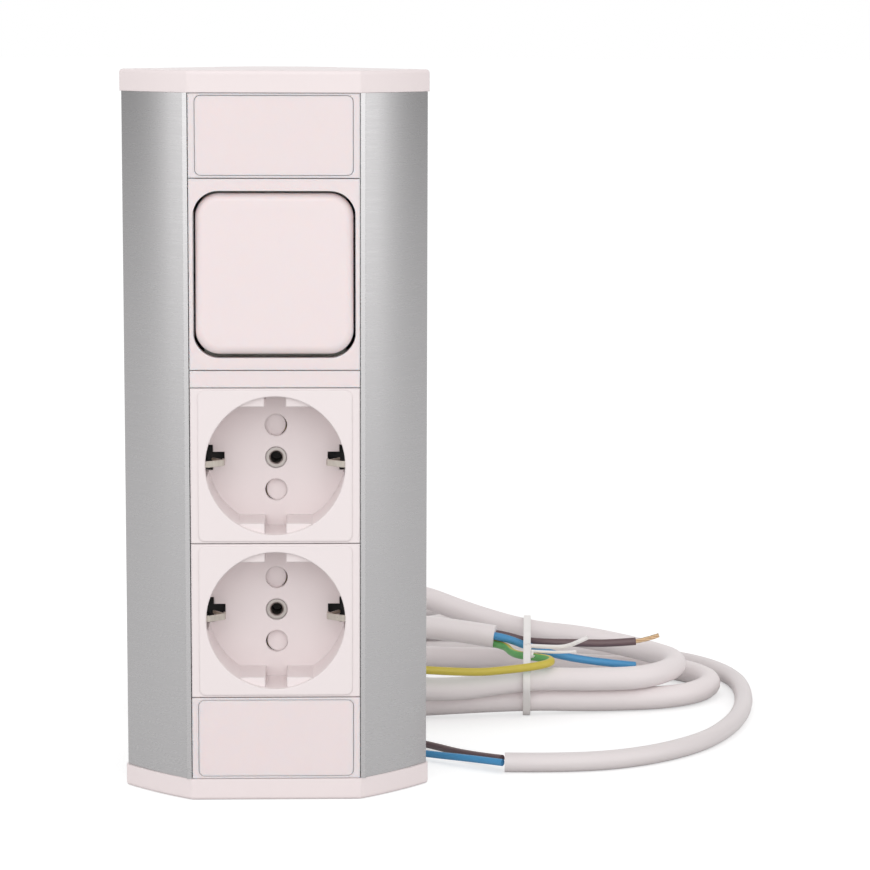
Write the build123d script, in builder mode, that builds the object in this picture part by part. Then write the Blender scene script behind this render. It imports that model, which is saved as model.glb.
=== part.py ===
# Corner furniture socket: an anodised aluminium corner profile between two end caps. From the
# bottom up it holds a blank, two earthed sockets, a spacer, a rocker light switch and a blank.
# Two leads leave its back: a three-core supply lead and a two-core lamp lead.
# Frame: X right, +Y into the corner behind the part, Z up, origin under the middle of the housing.
# The depth of the housing runs along +Y from its front face, and all lengths are millimetres.
import os
from math import cos, pi, radians, sin, sqrt, tan

from build123d import *

os.makedirs("parts", exist_ok=True)

# Housing
depth = 55.0
body_half = 43.9
back_flat_half = 9.4
side_land = 2.0
cheek_bulge = 0.85
wall = 1.4
cap_height = 6.25
cap_plate = 2.5
cap_overhang = 0.5
cap_front_proud = 0.3
cap_edge = 1.0
spigot_height = 3.4
spigot_wall = 1.3
seat_gap = 0.2

# Front modules, stacked upwards
module_width = 48.4
module_gap = 0.25
side_gap = 0.25
plate_thickness = 3.0
blank_height = 24.0
spacer_height = 5.0
ledge_reach = 1.55
ledge_thickness = 1.4
channel_depth = 9.0
clip_thickness = 1.6
clip_hook = 1.3
clip_gap = 0.2
clip_length = 6.0
clip_offset = 17.0

# Blanks
blank_margin_side = 1.8
blank_margin_end = 0.6
blank_corner = 1.8
blank_plate_thickness = 2.0
blank_plate_gap = 0.12
blank_rim = 3.0

# Sockets
recess_radius = 20.0
recess_depth = 17.3
recess_wall = 1.5
recess_margin = 1.0
recess_floor = 1.9
face_step = 0.25
face_inset_side = 2.2
face_inset_end = 0.7
face_corner = 1.8
key_chord = 16.9
key_depth = 1.5
key_notch = 6.2
pin_spacing = 19.0
pin_hole_radius = 3.2
earth_slot_inner = 15.0
earth_slot_half = 1.65
earth_gate_inner = 18.4
earth_gate_half = 3.7
earth_gate_top = 3.2
earth_strip = 0.5
earth_strap_half = 1.7
earth_leaf_half = 0.9
earth_root_inset = 0.8
earth_tip = 14.6
earth_tip_depth = 8.0
earth_tip_round = 0.5
earth_tip_fold = 1.2
earth_return_inset = 1.6
earth_return_depth = 14.0
eyelet_bore = 1.7
eyelet_tube = 2.3
eyelet_flange = 2.95
eyelet_flange_thickness = 0.5
eyelet_recess = 0.6
eyelet_chamfer = 0.4
running_gap = 0.08
base_half_width = 20.4
base_inset = 2.0
wiring_space = 17.0
base_floor = 3.8
cheek_thickness = 1.3
cheek_margin = 1.0
shutter_thickness = 1.8
shutter_gap = 0.2
shutter_pad = 3.5
shutter_hub = 4.6
shutter_arm = 4.0
shutter_offset_deg = 4.0
spring_wire = 0.6
shutter_chamber = 13.8
shutter_chamber_depth = 3.2
contact_pocket_gap = 1.8
eyelet_length = 7.5
centre_screw_radius = 1.2
centre_screw_head = 2.0
centre_screw_cover = 4.0
contact_strip = 0.7
contact_half_gap = 2.6
contact_half_width = 3.0
contact_room = 1.0
terminal_x = 9.5
terminal_room = 3.2

# Switch
well_width = 46.2
well_height = 47.4
switch_bar = 3.55
well_corner = 7.4
rocker_gap_side = 0.7
rocker_gap_end = 0.9
rocker_corner = 6.8
rocker_edge = 2.4
rocker_shell = 1.4
rocker_top = 2.4
rocker_depth = 6.2
rocker_proud = 0.3
rocker_rest_deg = 3.0
pivot_depth = 6.5
pivot_pin_radius = 1.5
pivot_pin_length = 2.3
lug_outer = 17.3
lug_thickness = 1.8
ear_thickness = 1.9
carrier_depth = 10.0
carrier_thickness = 1.6
switch_base_half_width = 17.0
switch_base_half_height = 19.5
switch_base_depth = 20.0
switch_wall = 1.6
plunger_radius = 1.9
plunger_reach = 9.9
boss_drop = 1.0
plunger_grip = 2.0
plunger_spring_gap = 0.1
plunger_spring_wire = 0.5
lever_depth = 18.2
lever_half_length = 8.0
lever_half_width = 3.0
lever_thickness = 0.8
lever_pad_radius = 1.2
lever_rest_deg = 7.0
fulcrum_gap = 0.6

# Fasteners and fixings
port_bore = 1.6
port_wall = 1.4
side_port_inset = 5.7
side_port_rise = 1.1
back_port_inset = 12.0
back_port_reach = 4.9
cap_screw_radius = 1.5
cap_screw_head = 2.9
cap_screw_length = 14.0
mount_hole_radius = 2.25
mount_hole_height = 12.25
terminal_screw_radius = 1.5
terminal_screw_head = 2.1
terminal_screw_thickness = 2.0

# Leads
supply_diameter = 7.5
supply_exit_height = 24.0
lamp_diameter = 5.9
core_diameter = 2.6
core_spread = 2.1
copper_diameter = 1.7
fine_core_diameter = 2.2
inner_wire_diameter = 2.6
wire_clearance = 3.5
wire_pair = 3.2
wire_bend = 5.2
grommet_wall = 1.2
grommet_flange = 1.6
grommet_flange_thickness = 1.5
grommet_spacing = 2.2
clamp_depth = 8.0
clamp_half_width = 8.0
clamp_margin = 6.5
clamp_screw_rise = 0.8
sheath_proud = 2.0
lamp_sheath_proud = 0.5
layer_gap = 1.0
tie_width = 2.4
tie_thickness = 0.8
tie_gap = 0.3
tie_slant = 0.0658
tie_lift = 1.75
tie_wire_diameter = 1.4

# Sizes that follow from the ones above
corner_sum = depth + back_flat_half
socket_height = 2 * (recess_radius + recess_wall + recess_margin)
switch_height = well_height + 2 * switch_bar
bottom_blank_z = cap_height + blank_height / 2
lower_socket_z = cap_height + blank_height + socket_height / 2
upper_socket_z = lower_socket_z + socket_height
spacer_z = upper_socket_z + socket_height / 2 + spacer_height / 2
switch_z = spacer_z + spacer_height / 2 + switch_height / 2
top_blank_z = switch_z + switch_height / 2 + blank_height / 2
total_height = top_blank_z + blank_height / 2 + cap_height
front = -depth / 2
opening_half = module_width / 2 + side_gap
ledge_half = opening_half - ledge_reach
ledge_back = plate_thickness + ledge_thickness
side_port = (body_half - side_port_inset, corner_sum - body_half - side_port_rise)
back_port = (corner_sum - depth + back_port_inset - back_port_reach, depth - back_port_inset)
floor_back = recess_depth + recess_floor
base_back = depth - wiring_space
base_depth = base_back - floor_back
base_half_height = socket_height / 2 - base_inset
contact_pocket_depth = base_depth - base_floor
lamp_exit_height = (
    supply_exit_height + (supply_diameter + lamp_diameter) / 2 + 2 * (grommet_wall + grommet_flange)
    + grommet_spacing
)
contact_length = contact_pocket_depth - shutter_chamber_depth - contact_pocket_gap
centre_screw_length = base_depth - eyelet_length - centre_screw_cover
pin_half = pin_spacing / 2


def write(part, name):
    """Names a finished piece and writes its file."""
    part.label = name
    export_step(part, f"parts/{name}.step")


def level(height):
    """A sketch plane at a height, with its own Y measured as depth behind the front face."""
    return Plane(origin=(0, front, height), x_dir=(1, 0, 0), z_dir=(0, 0, 1))


def facing(height, deep=0.0):
    """A sketch plane that faces forward, X right and Y up, some depth behind the front face."""
    return Plane(origin=(0, front + deep, height), x_dir=(1, 0, 0), z_dir=(0, -1, 0))


def half_outline(half, front_y, back_y, front_half, land, slope_sum, bulge):
    """Right half of the housing's outline, from the front middle round to the back middle."""
    land_end = slope_sum - half
    land_start = land_end - land
    chord = Vector(half - front_half, land_start - front_y, 0)
    middle = Vector(front_half, front_y, 0) + chord * 0.5
    crown = middle + Vector(chord.Y, -chord.X, 0).normalized() * bulge
    Line((0, front_y), (front_half, front_y))
    ThreePointArc((front_half, front_y), crown, (half, land_start))
    Polyline((half, land_start), (half, land_end), (slope_sum - back_y, back_y), (0, back_y))


def housing_outline(inset=0.0, half=body_half, front_y=0.0, round_off=0.0):
    """The housing's closed outline, X by depth, set in from its edge by an inset."""
    with BuildSketch() as sketch:
        with BuildLine():
            half_outline(half, front_y, depth, opening_half, side_land, corner_sum, cheek_bulge)
            mirror(about=Plane.YZ)
        make_face()
        if inset:
            offset(amount=-inset, kind=Kind.INTERSECTION, mode=Mode.REPLACE)
        if round_off:
            fillet(sketch.vertices().filter_by(lambda v: abs(v.X) > 1), round_off)
    return sketch.sketch_local


ports = [(sx * x, y) for x, y in (side_port, back_port) for sx in (-1, 1)]
port_radius = port_bore + port_wall

# Aluminium corner profile: cheeks, return walls with ledges, and four screw ports
with BuildPart() as profile:
    with BuildSketch(level(cap_height)):
        add(housing_outline())
        add(housing_outline(wall), mode=Mode.SUBTRACT)
        Rectangle(2 * opening_half, channel_depth, mode=Mode.SUBTRACT)
        for side in (-1, 1):
            with Locations((side * (opening_half + wall / 2), channel_depth / 2)):
                Rectangle(wall, channel_depth)
            with Locations((side * (ledge_half + ledge_reach / 2), plate_thickness + ledge_thickness / 2)):
                Rectangle(ledge_reach, ledge_thickness)
            with Locations((side * (side_port[0] + body_half - wall / 2) / 2, side_port[1])):
                Rectangle(body_half - wall / 2 - side_port[0], wall)
        with Locations(*ports):
            Circle(port_radius)
        with Locations(*ports):
            Circle(port_bore, mode=Mode.SUBTRACT)
        for x, y in ports:
            with Locations((x - (port_radius if x > 0 else -port_radius), y)):
                Rectangle(2 * port_radius, port_bore, mode=Mode.SUBTRACT)
    extrude(amount=total_height - 2 * cap_height)
    with BuildSketch(facing(0, depth)):
        with Locations((0, mount_hole_height), (0, total_height - mount_hole_height)):
            Circle(mount_hole_radius)
        with Locations((0, supply_exit_height)):
            Circle(supply_diameter / 2 + grommet_wall)
        with Locations((0, lamp_exit_height)):
            Circle(lamp_diameter / 2 + grommet_wall)
    extrude(amount=2 * wall, mode=Mode.SUBTRACT)
write(profile.part, "aluminium_profile")

# End caps: a plate with a rim, a spigot ring inside the profile and four screw bosses
with BuildPart() as bottom_cap:
    with BuildSketch(level(0)):
        add(housing_outline(0, body_half + cap_overhang, -cap_front_proud, cap_edge))
    extrude(amount=cap_height)
    fillet(bottom_cap.faces().sort_by(Axis.Z)[0].outer_wire().edges(), cap_edge)
    with BuildSketch(level(cap_plate)):
        add(housing_outline(wall + cap_overhang))
        with Locations(*ports):
            Circle(port_radius, mode=Mode.SUBTRACT)
    extrude(amount=cap_height, mode=Mode.SUBTRACT)
    with BuildSketch(level(cap_plate)):
        add(housing_outline(wall + seat_gap))
        add(housing_outline(wall + seat_gap + spigot_wall), mode=Mode.SUBTRACT)
        Rectangle(2 * body_half, 2 * (side_port[1] + port_radius + wall), mode=Mode.SUBTRACT)
        with Locations(*ports):
            Circle(port_radius + 2 * seat_gap, mode=Mode.SUBTRACT)
    extrude(amount=cap_height + spigot_height - cap_plate)
    with Locations(*[Location((x, y + front, 0), (180, 0, 0)) for x, y in ports]):
        CounterSinkHole(cap_screw_radius + seat_gap, cap_screw_head)
write(bottom_cap.part, "bottom_cap")
with BuildPart() as top_cap:
    mirror(bottom_cap.part, about=Plane.XY.offset(total_height / 2))
write(top_cap.part, "top_cap")

# Cap screws: countersunk heads flush in the caps, shanks in the profile's ports
with BuildPart() as cap_screws:
    for x, y in ports:
        with BuildSketch(Plane(origin=(x, y + front, 0), x_dir=(1, 0, 0), z_dir=(0, -1, 0))):
            with BuildLine():
                Polyline(
                    (0, seat_gap),
                    (cap_screw_head - seat_gap, seat_gap),
                    (cap_screw_radius, cap_screw_head - cap_screw_radius),
                    (cap_screw_radius, cap_screw_length),
                    (0, cap_screw_length),
                    close=True,
                )
            make_face()
        revolve(axis=Axis((x, y + front, 0), (0, 0, 1)))
    mirror(about=Plane.XY.offset(total_height / 2))
write(cap_screws.part, "cap_screws")


def side_clips(height, offsets, length):
    """Snap legs behind a module plate that hook behind the profile's ledges."""
    leg_x = ledge_half - clip_gap - clip_thickness / 2
    leg_back = ledge_back + clip_gap + clip_hook
    for offset_z in offsets:
        for side in (-1, 1):
            with BuildSketch(level(height + offset_z - length / 2)) as leg:
                with Locations((side * leg_x, (plate_thickness + leg_back) / 2)):
                    Rectangle(clip_thickness, leg_back - plate_thickness)
                with Locations((side * (ledge_half - clip_gap + clip_hook / 2), leg_back - clip_hook / 2)):
                    Rectangle(clip_hook, clip_hook)
            extrude(leg.sketch, amount=length)


# Blanks: a frame clipped into the profile, and a blank plate seated in its rebate
blank_window = (module_width - 2 * blank_margin_side, blank_height - module_gap - 2 * blank_margin_end)
blank_inner = (blank_window[0] - 2 * blank_rim, blank_window[1] - 2 * blank_rim)


def blank(height, name):
    with BuildPart() as frame:
        with BuildSketch(facing(height, plate_thickness)):
            Rectangle(module_width, blank_height - module_gap)
        extrude(amount=plate_thickness)
        with BuildSketch(facing(height)):
            RectangleRounded(*blank_window, blank_corner)
        extrude(amount=-blank_plate_thickness, mode=Mode.SUBTRACT)
        with BuildSketch(facing(height)):
            RectangleRounded(*blank_inner, blank_corner)
        extrude(amount=-plate_thickness, mode=Mode.SUBTRACT)
        side_clips(height, (0,), clip_length)
    write(frame.part, f"{name}_blank_frame")
    with BuildPart() as plate:
        with BuildSketch(facing(height, blank_plate_thickness)):
            plate_size = [size - 2 * blank_plate_gap for size in blank_window]
            RectangleRounded(*plate_size, blank_corner - blank_plate_gap)
        extrude(amount=blank_plate_thickness)
        leg_x = blank_inner[0] / 2 - clip_gap - clip_thickness / 2
        leg_back = plate_thickness + clip_gap + clip_hook
        for side in (-1, 1):
            with BuildSketch(level(height - clip_length / 2)):
                with Locations((side * leg_x, (blank_plate_thickness + leg_back) / 2)):
                    Rectangle(clip_thickness, leg_back - blank_plate_thickness)
                with Locations((side * (blank_inner[0] / 2), leg_back - clip_hook / 2)):
                    Rectangle(clip_hook, clip_hook)
            extrude(amount=clip_length)
    write(plate.part, f"{name}_blank_plate")


blank(bottom_blank_z, "bottom")
blank(top_blank_z, "top")

# Spacer bar between the upper socket and the switch
with BuildPart() as spacer:
    with BuildSketch(facing(spacer_z, plate_thickness)):
        Rectangle(module_width, spacer_height - module_gap)
    extrude(amount=plate_thickness)
    side_clips(spacer_z, (0,), spacer_height - 4 * module_gap)
write(spacer.part, "spacer_bar")

# Earth bracket and socket pieces, one set for each socket
def strip(points, width, half_length, height, mode=Mode.ADD):
    """A bent metal strip: a polyline seen from above, given a width, over a height either way."""
    with BuildSketch(level(height - half_length)) as section:
        with BuildLine():
            Polyline(*points)
        trace(line_width=width)
    extrude(section.sketch, amount=2 * half_length, mode=mode)


face_size = (module_width - 2 * face_inset_side, socket_height - 2 * face_inset_end)
strap_x = recess_radius + recess_wall + earth_strip / 2 + seat_gap
strap_back = base_back + earth_strip / 2
leaf_front = earth_gate_top + seat_gap + earth_strip / 2
cheek_x = strap_x + earth_strip / 2 + seat_gap + cheek_thickness / 2
cheek_half = earth_gate_half + cheek_margin
pocket_outer = terminal_x + terminal_room
pocket_inner = contact_half_gap + contact_room
contact_front = floor_back + shutter_chamber_depth + seat_gap
contact_back = contact_front + contact_length + contact_strip / 2


def socket(height, name):
    # The face: a plate with a round keyed recess, its floor, and slots for pins and earth clips
    with BuildPart() as face:
        with BuildSketch(facing(height, plate_thickness)):
            Rectangle(module_width, socket_height - module_gap)
        extrude(amount=plate_thickness - face_step)
        with BuildSketch(facing(height, face_step)):
            RectangleRounded(*face_size, face_corner)
        extrude(amount=face_step)
        with BuildSketch(facing(height, floor_back)):
            Circle(recess_radius + recess_wall)
        extrude(amount=floor_back - face_step)
        with BuildSketch(facing(height)):
            Rectangle(2 * recess_radius, 2 * key_chord)
            Rectangle(key_notch, 2 * recess_radius)
            Circle(recess_radius, mode=Mode.INTERSECT)
        extrude(amount=-recess_depth, mode=Mode.SUBTRACT)
        with BuildSketch(facing(height)):
            Circle(recess_radius)
            Rectangle(2 * recess_radius, 2 * key_chord, mode=Mode.SUBTRACT)
            Rectangle(key_notch, 2 * recess_radius, mode=Mode.SUBTRACT)
        extrude(amount=-key_depth, mode=Mode.SUBTRACT)
        with BuildSketch(facing(height, recess_depth)):
            with Locations((0, pin_half), (0, -pin_half)):
                Circle(pin_hole_radius)
            Circle(eyelet_tube + seat_gap)
            for side in (-1, 1):
                with Locations((side * (earth_slot_inner + recess_radius) / 2, 0)):
                    Rectangle(recess_radius - earth_slot_inner, 2 * earth_slot_half)
        extrude(amount=-recess_floor, mode=Mode.SUBTRACT)
        with BuildSketch(facing(height, recess_depth)):
            Circle(eyelet_flange + seat_gap)
        extrude(amount=-eyelet_recess, mode=Mode.SUBTRACT)
        with BuildSketch(facing(height, earth_gate_top)):
            gate_outer = recess_radius + 2 * recess_wall
            for side in (-1, 1):
                with Locations((side * (earth_gate_inner + gate_outer) / 2, 0)):
                    Rectangle(gate_outer - earth_gate_inner, 2 * earth_gate_half)
        extrude(amount=earth_gate_top - floor_back, mode=Mode.SUBTRACT)
        side_clips(height, (-clip_offset, clip_offset), clip_length)
    write(face.part, f"{name}_socket_face")

    # The earth bracket: a strap round the back whose ends fold into two spring leaves
    with BuildPart() as bracket:
        half_strap = [(strap_x, leaf_front), (strap_x, strap_back)]
        strip(half_strap + [(-x, y) for x, y in reversed(half_strap)], earth_strip, earth_strap_half, height)
        for side in (-1, 1):
            fold_end = (earth_tip + earth_tip_round, earth_tip_depth + earth_tip_fold)
            leaf = [(strap_x, leaf_front), (recess_radius - earth_root_inset, leaf_front),
                    (earth_tip + earth_tip_round, earth_tip_depth - earth_tip_fold),
                    (earth_tip + earth_tip_round / 2, earth_tip_depth), fold_end]
            strip([(side * x, y) for x, y in leaf], earth_strip, earth_leaf_half, height)
            tail = [fold_end, (recess_radius - earth_return_inset, earth_return_depth)]
            strip([(side * x, y) for x, y in tail], earth_strip, earth_leaf_half / 2, height)
    write(bracket.part, f"{name}_earth_bracket")

    # The base behind the recess floor, with its shutter chamber, contact pockets, and a cheek
    # held by two arms round the outside of each leg of the earth bracket
    with BuildPart() as base:
        with BuildSketch(facing(height, base_back)):
            RectangleRounded(2 * base_half_width, 2 * base_half_height, 1.5)
        extrude(amount=base_depth)
        with BuildSketch(facing(height, floor_back)):
            Circle(shutter_chamber)
            for side in (-1, 1):
                with Locations((side * (base_half_width + shutter_chamber) / 2, 0)):
                    Rectangle(base_half_width - shutter_chamber + 1, 2 * earth_gate_half)
        extrude(amount=-shutter_chamber_depth, mode=Mode.SUBTRACT)
        with BuildSketch(facing(height, floor_back)):
            for side in (-1, 1):
                with Locations((side * (pocket_outer - pocket_inner) / 2, side * pin_half)):
                    Rectangle(pocket_outer + pocket_inner, 2 * contact_half_width + contact_room)
        extrude(amount=-contact_pocket_depth, mode=Mode.SUBTRACT)
        with BuildSketch(facing(height, floor_back)):
            Circle(eyelet_tube + seat_gap)
        extrude(amount=-eyelet_length - seat_gap, mode=Mode.SUBTRACT)
        with BuildSketch(facing(height, floor_back)):
            Circle(centre_screw_radius + running_gap)
        extrude(amount=-base_depth + 2, mode=Mode.SUBTRACT)
        with BuildSketch(facing(height, base_back)):
            for side in (-1, 1):
                with Locations((side * terminal_x, side * pin_half)):
                    Circle(terminal_screw_head + seat_gap)
        extrude(amount=base_floor, mode=Mode.SUBTRACT)
        for side in (-1, 1):
            with BuildSketch(facing(height, floor_back + shutter_chamber_depth)):
                with Locations((side * cheek_x, 0)):
                    Rectangle(cheek_thickness, 2 * cheek_half)
            extrude(amount=floor_back + shutter_chamber_depth - ledge_back - seat_gap)
            with BuildSketch(facing(height, floor_back + shutter_chamber_depth)):
                with Locations((side * (base_half_width + cheek_x) / 2, 0)):
                    Rectangle(cheek_x - base_half_width + cheek_thickness, 2 * cheek_half)
                    Rectangle(strap_x, 2 * (earth_strap_half + seat_gap), mode=Mode.SUBTRACT)
            extrude(amount=shutter_chamber_depth)
    write(base.part, f"{name}_socket_base")

    # The eyelet in the middle of the floor, and the screw sunk inside it
    with BuildPart() as eyelet:
        with BuildSketch(facing(height, recess_depth + eyelet_recess)):
            Circle(eyelet_flange)
        extrude(amount=eyelet_flange_thickness)
        with BuildSketch(facing(height, recess_depth + eyelet_recess)):
            Circle(eyelet_tube)
        extrude(amount=-(floor_back + eyelet_length - recess_depth - eyelet_recess))
        with BuildSketch(facing(height, recess_depth)):
            Circle(eyelet_bore)
        extrude(amount=-(floor_back + eyelet_length - recess_depth), mode=Mode.SUBTRACT)
        mouth = eyelet.edges().filter_by(GeomType.CIRCLE).group_by(Axis.Y)[0].sort_by(SortBy.RADIUS)[0]
        chamfer(mouth, eyelet_chamfer)
    write(eyelet.part, f"{name}_centre_eyelet")

    # The shutter: two round pads on a hub that turns on the eyelet's tube
    with BuildPart() as shutter:
        with BuildSketch(facing(height, floor_back + shutter_gap + shutter_thickness)):
            Circle(shutter_hub)
            with Locations(Location((0, 0, 0), (0, 0, 90 + shutter_offset_deg))):
                Rectangle(pin_spacing, shutter_arm)
                with Locations((pin_half, 0), (-pin_half, 0)):
                    Circle(shutter_pad)
            Circle(eyelet_tube + running_gap, mode=Mode.SUBTRACT)
        extrude(amount=shutter_thickness)
    write(shutter.part, f"{name}_shutter")
    with BuildPart() as spring:
        with BuildSketch(facing(height, floor_back + shutter_chamber_depth)):
            Circle(shutter_hub)
            Circle(shutter_hub - spring_wire, mode=Mode.SUBTRACT)
        extrude(amount=shutter_chamber_depth - shutter_gap - shutter_thickness - shutter_gap)
    write(spring.part, f"{name}_shutter_spring")

    # Live and neutral contacts: forked strips round each pin, with a screwed terminal
    for side, pole in ((1, "live"), (-1, "neutral")):
        with BuildPart() as contact:
            fork = [(-contact_half_gap, contact_front), (-contact_half_gap, contact_front + contact_length),
                    (contact_half_gap, contact_front + contact_length), (contact_half_gap, contact_front)]
            strip(fork, contact_strip, contact_half_width, height + side * pin_half)
            bar_ends = (contact_half_gap, pocket_outer - contact_strip)
            bar = [(side * x, contact_front + contact_length) for x in bar_ends]
            strip(bar, contact_strip, contact_half_width, height + side * pin_half)
            with BuildSketch(facing(height, contact_front + contact_length)):
                with Locations((side * terminal_x, side * pin_half)):
                    Circle(terminal_screw_radius + running_gap)
            extrude(amount=2 * contact_strip, both=True, mode=Mode.SUBTRACT)
        write(contact.part, f"{name}_{pole}_contact")


socket(lower_socket_z, "lower")
socket(upper_socket_z, "upper")

# Screws of both sockets: one sunk in each eyelet, and one in each contact's terminal
with BuildPart() as centre_screws:
    for height in (lower_socket_z, upper_socket_z):
        with BuildSketch(facing(height, floor_back + eyelet_length - centre_screw_head)):
            Circle(eyelet_bore - seat_gap)
        extrude(amount=-centre_screw_head)
        with BuildSketch(facing(height, floor_back + eyelet_length)):
            Circle(centre_screw_radius)
        extrude(amount=-centre_screw_length)
write(centre_screws.part, "centre_screws")
with BuildPart() as terminal_screws:
    for height in (lower_socket_z, upper_socket_z):
        for side in (-1, 1):
            with BuildSketch(facing(height, contact_back)):
                with Locations((side * terminal_x, side * pin_half)):
                    Circle(terminal_screw_head)
            extrude(amount=-terminal_screw_thickness)
            with BuildSketch(facing(height, contact_back)):
                with Locations((side * terminal_x, side * pin_half)):
                    Circle(terminal_screw_radius)
            extrude(amount=2 * terminal_screw_thickness)
write(terminal_screws.part, "terminal_screws")

# Switch frame: a plate with a round-cornered well, clipped into the profile at its four corners
with BuildPart() as switch_frame:
    with BuildSketch(facing(switch_z, plate_thickness)):
        Rectangle(module_width, switch_height - module_gap)
        RectangleRounded(well_width, well_height, well_corner, mode=Mode.SUBTRACT)
    extrude(amount=plate_thickness)
    bar_middle = (well_height + switch_bar) / 2
    side_clips(switch_z, (-bar_middle, bar_middle), switch_bar - 4 * module_gap)
write(switch_frame.part, "switch_frame")

# Rocker, drawn square to its own face: tilted with its top pressed in, as the photograph shows it
pivot_y = front + pivot_depth
rocker_plane = Plane(
    origin=(0, pivot_y, switch_z),
    x_dir=(1, 0, 0),
    z_dir=(0, -cos(radians(rocker_rest_deg)), sin(radians(rocker_rest_deg))),
)
rocker_width = well_width - 2 * rocker_gap_side
rocker_height = well_height - 2 * rocker_gap_end
rocker_front = pivot_depth + rocker_proud
rocker_back = rocker_front - rocker_depth
rocker_inner = rocker_front - rocker_top
lug_middle = lug_outer - lug_thickness / 2
boss_radius = plunger_radius + running_gap + rocker_shell
lug_plane = Plane(origin=rocker_plane.origin, x_dir=rocker_plane.y_dir, z_dir=(1, 0, 0))
with BuildPart() as rocker:
    with BuildSketch(rocker_plane.offset(rocker_back)):
        RectangleRounded(rocker_width, rocker_height, rocker_corner)
    extrude(amount=rocker_depth)
    rocker_face = rocker.faces().sort_by(Axis(rocker_plane.origin, rocker_plane.z_dir))[-1]
    fillet(rocker_face.edges(), rocker_edge)
    with BuildSketch(rocker_plane.offset(rocker_back)):
        inner_size = (rocker_width - 2 * rocker_shell, rocker_height - 2 * rocker_shell)
        RectangleRounded(*inner_size, rocker_corner - rocker_shell)
    extrude(amount=rocker_inner - rocker_back, mode=Mode.SUBTRACT)
    for side in (-1, 1):
        with BuildSketch(lug_plane.offset(side * lug_middle)):
            Circle(2 * pivot_pin_radius)
            with Locations((0, rocker_inner / 2)):
                Rectangle(4 * pivot_pin_radius, rocker_inner)
        extrude(amount=lug_thickness / 2, both=True)
        with BuildSketch(lug_plane.offset(side * (lug_outer + pivot_pin_length / 2))):
            Circle(pivot_pin_radius)
        extrude(amount=pivot_pin_length / 2 + lug_thickness / 4, both=True)
    with BuildSketch(rocker_plane.offset(-boss_drop)):
        Circle(boss_radius)
        Circle(plunger_radius + running_gap, mode=Mode.SUBTRACT)
    extrude(amount=rocker_inner + boss_drop)
write(rocker.part, "switch_rocker")

# Plunger and its spring inside the rocker's middle boss
plunger_head = plunger_grip - boss_drop
with BuildPart() as plunger:
    with BuildSketch(rocker_plane.offset(-plunger_reach + plunger_radius)):
        Circle(plunger_radius)
    extrude(amount=plunger_head + plunger_reach - plunger_radius)
    with Locations(rocker_plane.offset(-plunger_reach + plunger_radius)):
        Sphere(plunger_radius)
write(plunger.part, "rocker_plunger")
with BuildPart() as plunger_spring:
    with BuildSketch(rocker_plane.offset(plunger_head)):
        Circle(plunger_radius - plunger_spring_gap)
        Circle(plunger_radius - plunger_spring_gap - plunger_spring_wire, mode=Mode.SUBTRACT)
    extrude(amount=rocker_inner - plunger_head)
write(plunger_spring.part, "plunger_spring")

# Carrier: the plate with the rocker's two bearing ears, hung behind the frame's end bars
ear_middle = lug_outer + side_gap + ear_thickness / 2
with BuildPart() as carrier:
    with BuildSketch(facing(switch_z, carrier_depth + carrier_thickness)):
        Rectangle(2 * base_half_width, switch_height - 4 * module_gap)
        Rectangle(4 * boss_radius, 6 * boss_radius, mode=Mode.SUBTRACT)
    extrude(amount=carrier_thickness)
    for side in (-1, 1):
        with BuildSketch(facing(switch_z, carrier_depth)):
            with Locations((0, side * (well_height + switch_bar) / 2)):
                Rectangle(2 * base_half_width - 4 * clip_thickness, switch_bar - rocker_gap_end)
        extrude(amount=carrier_depth - plate_thickness)
        ear_plane = Plane(origin=(side * ear_middle, pivot_y, switch_z), x_dir=(0, 0, 1), z_dir=(1, 0, 0))
        with BuildSketch(ear_plane):
            Circle(2 * pivot_pin_radius)
            with Locations((0, -(carrier_depth - pivot_depth + seat_gap) / 2)):
                Rectangle(4 * pivot_pin_radius, carrier_depth - pivot_depth + seat_gap)
            Circle(pivot_pin_radius + running_gap, mode=Mode.SUBTRACT)
        extrude(amount=ear_thickness / 2, both=True)
write(carrier.part, "rocker_carrier")

# Switch base: an open box behind the carrier with the fulcrum of the contact lever
switch_base_front = carrier_depth + carrier_thickness
switch_base_back = switch_base_front + switch_base_depth
with BuildPart() as switch_base:
    with BuildSketch(facing(switch_z, switch_base_back)):
        RectangleRounded(2 * switch_base_half_width, 2 * switch_base_half_height, blank_corner)
    extrude(amount=switch_base_depth)
    with BuildSketch(facing(switch_z, switch_base_back - switch_wall)):
        Rectangle(2 * (switch_base_half_width - switch_wall), 2 * (switch_base_half_height - switch_wall))
    extrude(amount=switch_base_depth - switch_wall, mode=Mode.SUBTRACT)
write(switch_base.part, "switch_base")

# Contact lever: a brass rocker on a fulcrum post, tilted the other way from the rocker
lever_plane = Plane(
    origin=(0, front + lever_depth, switch_z),
    x_dir=(1, 0, 0),
    z_dir=(0, -cos(radians(lever_rest_deg)), -sin(radians(lever_rest_deg))),
)
contact_z = lever_half_length - lever_half_width / 2
with BuildPart() as lever:
    with BuildSketch(lever_plane.offset(lever_thickness)):
        Rectangle(2 * lever_half_width, 2 * lever_half_length)
    extrude(amount=lever_thickness)
    with BuildSketch(lever_plane):
        with Locations((0, contact_z), (0, -contact_z)):
            Circle(lever_pad_radius)
    extrude(amount=lever_thickness)
write(lever.part, "contact_lever")

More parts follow.
